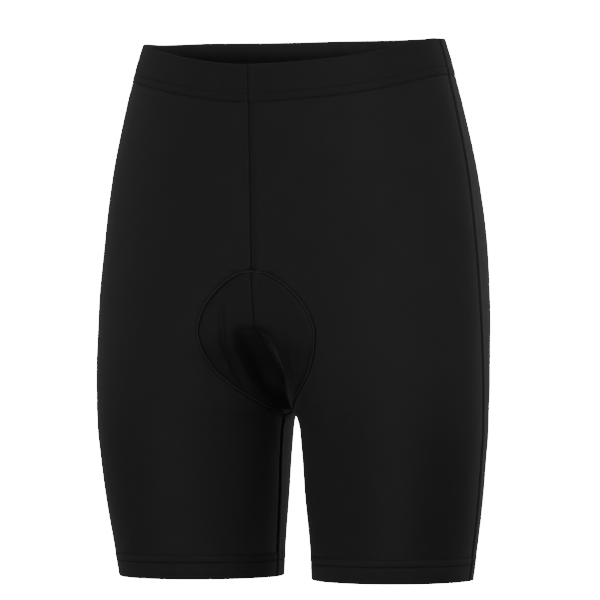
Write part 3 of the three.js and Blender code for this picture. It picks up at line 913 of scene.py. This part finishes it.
def crotch_pad():
    """The four quarters joined into one closed body, their shared edges merged."""
    points, faces, count = [], [], 0
    for panel in PANELS:
        for side in SIDES:
            outer, inner = pad_quarter(panel, side)
            rows, columns = outer.shape[:2]
            size = rows * columns
            index = np.arange(size).reshape(rows, columns)
            edge = index[:, -1]
            rim = np.stack([edge[:-1], edge[:-1] + size, edge[1:] + size, edge[1:]], 1)
            back = grid_faces(rows, columns, size)[:, ::-1]
            quarter = np.concatenate([grid_faces(rows, columns), back, rim])
            turned = (side == "right") != (panel == "back")
            faces.append((quarter[:, ::-1] if turned else quarter) + count)
            points.append(np.concatenate([outer.reshape(-1, 3), inner.reshape(-1, 3)]) * MIRROR[side])
            count += 2 * size
    points, faces = np.concatenate(points), np.concatenate(faces)
    piece = new_piece("crotch_pad", points, faces, points[:, :2])
    bpy.context.view_layer.objects.active = piece
    weld = piece.modifiers.new("weld", "WELD")
    weld.merge_threshold = 0.00002
    return piece


def pad_material():
    """Brushed knit over foam: a matt dark grey, a fine nap and a little sheen."""
    shine = {"Roughness": 0.85, "Specular IOR Level": 0.2, "Sheen Weight": 0.2}
    material, tree, shader = new_material("pad_face", shine)
    nap = noise(tree, 1400, 3, 0.7)
    tone = calculate(tree, "MULTIPLY_ADD", nap, 0.6, calculate(tree, "MULTIPLY", noise(tree, 60, 2), 0.4))
    colour = between(tree, tone, (0.014, 0.014, 0.015), (0.034, 0.034, 0.037))
    tree.links.new(colour, shader.inputs["Base Color"])
    raise_surface(tree, shader, nap, 0.8, 0.1)
    return material


pad_piece = crotch_pad()
pad_piece.data.materials.append(pad_material())
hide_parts("pad")
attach(pad_piece, "root")

# Cover stitching
# Rows of black polyester thread along the waistband and the hems. Each stitch is a short bar of
# thread that rises from one needle hole and goes down into the next.
THREAD_RADIUS = 0.2
STITCH_LENGTH = 2.4
STITCH_RISE = 0.3
STITCH_BEDDING = 0.25
LINE_SHARES = np.linspace(0, 1, 160)
STITCH_SIDES = 6
STITCH_RINGS = 6


def even_path(points, normals, spacing, closed=True):
    """Evenly spaced points, directions and normals along a line of points."""
    if closed:
        points, normals = np.vstack([points, points[:1]]), np.vstack([normals, normals[:1]])
    step = np.linalg.norm(np.diff(points, axis=0), axis=1)
    distance = np.concatenate([[0], step.cumsum()])
    count = max(2, int(round(distance[-1] / spacing)))
    places = (np.arange(count) + 0.5) / count * distance[-1]
    at = np.stack([np.interp(places, distance, points[:, i]) for i in range(3)], 1)
    ahead = np.stack([np.interp((places + 0.3) % distance[-1], distance, points[:, i]) for i in range(3)], 1)
    out = np.stack([np.interp(places, distance, normals[:, i]) for i in range(3)], 1)
    out /= np.linalg.norm(out, axis=1, keepdims=True)
    direction = ahead - at
    direction -= out * (direction * out).sum(1, keepdims=True)
    direction /= np.linalg.norm(direction, axis=1, keepdims=True)
    return at, direction, out


def thread_bars(at, direction, out, length, radius, rise, slant=0.0):
    """One bar of thread at each place: rings of points along an arch, thinner at its ends. The bar
    turns from the path's direction towards its side by slant, an angle or an array of angles."""
    across = np.cross(out, direction)
    slant = np.broadcast_to(slant, len(at))[:, None]
    lengthwise = direction * np.cos(slant) + across * np.sin(slant)
    sideways = np.cross(out, lengthwise)
    t = np.linspace(-1, 1, STITCH_RINGS)
    angle = np.arange(STITCH_SIDES) / STITCH_SIDES * 2 * np.pi
    girth = radius * np.sqrt(np.maximum(1 - t ** 4, 0.06))
    along = t * length / 2
    arch = rise * (1 - t * t) - radius
    ring = np.stack([
        np.repeat(along, STITCH_SIDES),
        (girth[:, None] * np.cos(angle)).ravel(),
        (arch[:, None] + girth[:, None] * np.sin(angle)).ravel(),
    ])
    points = (
        at[:, None]
        + lengthwise[:, None] * ring[0][None, :, None]
        + sideways[:, None] * ring[1][None, :, None]
        + out[:, None] * ring[2][None, :, None]
    )
    faces = []
    for i in range(STITCH_RINGS - 1):
        a = i * STITCH_SIDES + np.arange(STITCH_SIDES)
        b = i * STITCH_SIDES + (np.arange(STITCH_SIDES) + 1) % STITCH_SIDES
        faces.append(np.stack([a, b, b + STITCH_SIDES, a + STITCH_SIDES], 1))
    base = np.arange(STITCH_SIDES)
    last = (STITCH_RINGS - 1) * STITCH_SIDES
    caps = [base[[3, 2, 1, 0]], base[[5, 4, 3, 0]], last + base[[0, 1, 2, 3]], last + base[[0, 3, 4, 5]]]
    faces = np.concatenate(faces + [np.array(caps)])[:, ::-1]
    size = STITCH_RINGS * STITCH_SIDES
    offsets = (np.arange(len(at)) * size)[:, None, None]
    return points.reshape(-1, 3), (faces[None] + offsets).reshape(-1, 4)


def thread_material(name, colour, roughness):
    """Twisted polyester thread: its colour a little darker and lighter by a very fine noise."""
    material, tree, shader = new_material(name, {"Roughness": roughness, "Specular IOR Level": 0.4})
    dark, light = ([share * c for c in colour] for share in (0.6, 1.4))
    tree.links.new(between(tree, noise(tree, 2600, 1), dark, light), shader.inputs["Base Color"])
    return material


thread = thread_material("black_thread", (0.012, 0.012, 0.0125), 0.5)


def sewn(name, points, faces, material):
    """A piece of sewing that rides on the garment."""
    piece = new_piece(name, points, faces)
    piece.data.materials.append(material)
    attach(piece, "root")
    return piece


def waist_line(row):
    """A line round the waistband at a row of stitches, and the normals along it."""
    z, proud = band_height(row), BAND_PROUD - STITCH_BEDDING
    low, high = (quarter_loop(LINE_SHARES, z, lambda *place: proud + more)[0] for more in (0, 1))
    return low, high - low


def hem_line(side, row):
    """A line round one hem at a row of stitches, and the normals along it."""
    z = HEM_LEVEL + HEM_DEPTH - row
    low, high = (
        leg_loop(side, LINE_SHARES, z, lambda panel, s: HEM_PROUD - STITCH_BEDDING + more) for more in (0, 1)
    )
    return low, high - low


def stitch_rows(name, lines, slot):
    """A row of stitches along each line, all one piece."""
    parts, faces, count = [], [], 0
    for line in lines:
        path = even_path(*line, STITCH_LENGTH * 1.12)
        points, quads = thread_bars(*path, STITCH_LENGTH, THREAD_RADIUS, STITCH_RISE)
        parts.append(points)
        faces.append(quads + count)
        count += len(points)
    return sewn(name, np.concatenate(parts), np.concatenate(faces), thread)


# The thread in the centre seams: from above the hollow up, over the cloth's relief, as thick bars
SEAM_THREAD_LOW = -236.0
SEAM_THREAD_LIFT = 0.45
SEAM_THREAD_SPACING = 2.3
SEAM_THREAD_LENGTH = 2.6
SEAM_THREAD_RADIUS = 0.6
SEAM_THREAD_RISE = 0.15
SEAM_THREAD_BEDDING = 0.85
SEAM_THREAD_END = 1.5


def centre_seam_thread(panel):
    """The stitches pulled tight in the groove of a centre seam, from above the hollow to the waist
    edge: a row of thick bars end to end."""
    top = waist_edge(panel, "left", 0)
    z = np.linspace(SEAM_THREAD_LOW, top - SEAM_THREAD_END, 260)
    on_band = smooth((z - top + BAND_HEIGHT) / 0.6 + 0.5)
    lift = SEAM_THREAD_LIFT + (1 - on_band) * relief(panel, "left", 0 * z, z)
    lift += on_band * (BAND_PROUD - SEAM_THREAD_BEDDING)
    low, high = cloth(panel, 0 * z, z, lift), cloth(panel, 0 * z, z, lift + 1)
    path = even_path(low, high - low, SEAM_THREAD_SPACING, closed=False)
    points, faces = thread_bars(*path, SEAM_THREAD_LENGTH, SEAM_THREAD_RADIUS, SEAM_THREAD_RISE)
    return sewn(f"centre_seam_thread_{panel}", points, faces, seam_thread)


seam_thread = thread_material("seam_thread", (0.0045, 0.0045, 0.0047), 0.7)
stitch_rows("waist_stitching", [waist_line(row) for row in BAND_ROWS_OF_STITCH], "elastic_casing")
for side in SIDES:
    stitch_rows(f"hem_stitching_{side}", [hem_line(side, row) for row in HEM_ROWS_OF_STITCH], "turned_hem")
for panel in PANELS:
    centre_seam_thread(panel)

# Pad outline
# The pad's edge is sewn through the panels, and shows outside as a narrow dark cord with a light
# stitch every 2 mm and pulled-in ones beside it, all the way round the crotch and over the seat.
WELT_WIDTH = 1.9
WELT_HEIGHT = 0.6
WELT_STITCH = 2.1
WELT_LOWEST = -0.7
# Length, radius and rise of the light stitches and of the dark ones, which lie beside the cord
OUTLINE_STITCH = (1.0, 0.52, 0.45)
OUTLINE_SLANT = np.radians(25)
NEEDLE_STITCH = (1.3, 0.5, 0.5)
NEEDLE_SIDE = -1.3
NEEDLE_LIFT = 0.1


def pad_outline_path():
    """The outline on the cloth as one closed line, in four quarters from the centre front's top down
    to the left inseam, up the back, and so round; with the normals along it."""
    lines, outs = [], []
    for panel, side, direction in LOOP_QUARTERS:
        z = PAD_BOTTOM + (PAD_TOP[panel] - PAD_BOTTOM) * smooth(np.linspace(0, 1, 240))
        reach = pad_reach(panel, side, z)
        reach[0] = reach[-1] = 0
        share = reach / ring_length(panel, z)
        lift = np.maximum(relief(panel, side, share, z), WELT_LOWEST)
        low, high = (
            (cloth(panel, share, z, lift + more) * MIRROR[side])[::-direction][:-1] for more in (0, 1)
        )
        lines.append(low)
        outs.append(high - low)
    return np.concatenate(lines), np.concatenate(outs)


def pad_welt():
    """A low rounded cord along the outline, its height rippling with each stitch."""
    at, direction, out = even_path(*pad_outline_path(), 0.5)
    across = np.cross(out, direction)
    angle = np.radians(np.arange(0, 360, 30))
    ripple = 1 + 0.3 * np.sin(np.arange(len(at)) * 0.5 / WELT_STITCH * 2 * np.pi)
    wide = (WELT_WIDTH / 2 * np.cos(angle))[:, None, None] * across
    tall = (WELT_HEIGHT * np.sin(angle))[:, None, None] * out * ripple[:, None]
    points = at[None] + wide + tall
    faces = tube_faces(*points.shape[:2])
    return sewn("pad_outline_cord", points.reshape(-1, 3), faces, cord_thread)


def pad_outline_stitches():
    """Short thick bars of light thread along the cord, a little aslant."""
    at, direction, out = even_path(*pad_outline_path(), WELT_STITCH)
    points, faces = thread_bars(at + out * WELT_HEIGHT, direction, out, *OUTLINE_STITCH, OUTLINE_SLANT)
    return sewn("pad_outline_stitching", points, faces, outline_thread)


def needle_marks():
    """The pulled-in stitches on the pad's side of the cord: short dark bars between the light ones."""
    at, direction, out = even_path(*pad_outline_path(), WELT_STITCH / 2)
    beside = (at + np.cross(out, direction) * NEEDLE_SIDE)[::2]
    points, faces = thread_bars(beside + out[::2] * NEEDLE_LIFT, direction[::2], out[::2], *NEEDLE_STITCH)
    return sewn("pad_outline_marks", points, faces, seam_thread)


cord_thread = thread_material("outline_cord", (0.009, 0.009, 0.0093), 0.5)
outline_thread = thread_material("outline_thread", (0.065, 0.065, 0.067), 0.55)
pad_welt()
pad_outline_stitches()
needle_marks()

# Floor, surround and lamps
# A plain white studio. The floor and the surround are bright to the camera alone, and the garment is
# lit by a faint even fill and large soft lamps at every height, weakest from behind.
FLOOR_LEVEL = -1.5
FLOOR_SIZE = 60.0
SURROUND = 20.0
FILL = 0.17
floor_mesh = bpy.data.meshes.new("floor")
corner = FLOOR_SIZE / 2
floor_corners = [(-corner, -corner), (corner, -corner), (corner, corner), (-corner, corner)]
floor_mesh.from_pydata([(x, y, FLOOR_LEVEL) for x, y in floor_corners], [], [(0, 1, 2, 3)])
floor = new_object("floor", floor_mesh)
WHITE = (1, 1, 1, 1)
floor_looks = {
    "Base Color": (0.9, 0.9, 0.9, 1),
    "Roughness": 0.9,
    "Emission Color": WHITE,
    "Emission Strength": SURROUND,
}
floor_paint = new_material("pale_floor", floor_looks)[0]
floor_mesh.materials.append(floor_paint)
floor.visible_diffuse = False
floor.visible_glossy = False

world = bpy.data.worlds.new("studio")
bpy.context.scene.world = world
world.use_nodes = True
sky = world.node_tree
sky.nodes.clear()
surround = node(sky, "ShaderNodeBackground", {"Color": WHITE, "Strength": SURROUND})
fill = node(sky, "ShaderNodeBackground", {"Color": WHITE, "Strength": FILL})
seen = node(sky, "ShaderNodeLightPath")
either = node(sky, "ShaderNodeMixShader")
world_out = node(sky, "ShaderNodeOutputWorld")
sky.links.new(seen.outputs["Is Camera Ray"], either.inputs[0])
sky.links.new(fill.outputs[0], either.inputs[1])
sky.links.new(surround.outputs[0], either.inputs[2])
sky.links.new(either.outputs[0], world_out.inputs["Surface"])

# Lamps: name, azimuth from the camera and height as angles seen from the garment, distance, width
# and height of the lamp in metres, and watts
LAMPS = [
    ("front_high", 0, 45, 2.4, 1.0, 1.0, 7.2),
    ("front_right", 30, 8, 2.4, 0.7, 1.6, 4.5),
    ("front_left", -20, 8, 2.4, 0.7, 1.6, 3.3),
    ("left_high", -90, 45, 2.4, 1.0, 1.0, 2.5),
    ("right_high", 90, 45, 2.4, 1.0, 1.0, 2.1),
    ("left_side", -95, 8, 2.4, 0.7, 1.6, 2.3),
    ("right_side", 80, 8, 2.4, 0.7, 1.6, 3.4),
    ("right_behind", 142, 8, 2.4, 0.7, 1.6, 1.2),
    ("front_low", 0, -22, 2.3, 1.0, 0.8, 4.0),
    ("left_low", -60, -22, 2.3, 1.0, 0.8, 2.5),
]
AIM = Vector((0, 0, -0.2))
for name, azimuth, elevation, distance, wide, tall, watts in LAMPS:
    lamp = bpy.data.lights.new(name, "AREA")
    lamp.shape = "RECTANGLE"
    lamp.size, lamp.size_y = wide, tall
    lamp.energy = watts
    turn, rise = CAMERA_AZIMUTH + np.radians(azimuth), np.radians(elevation)
    direction = Vector((np.sin(turn) * np.cos(rise), -np.cos(turn) * np.cos(rise), np.sin(rise)))
    holder = new_object(name, lamp)
    holder.location = AIM + direction * distance
    holder.rotation_euler = (-direction).to_track_quat("-Z", "Y").to_euler()
    holder.visible_camera = False
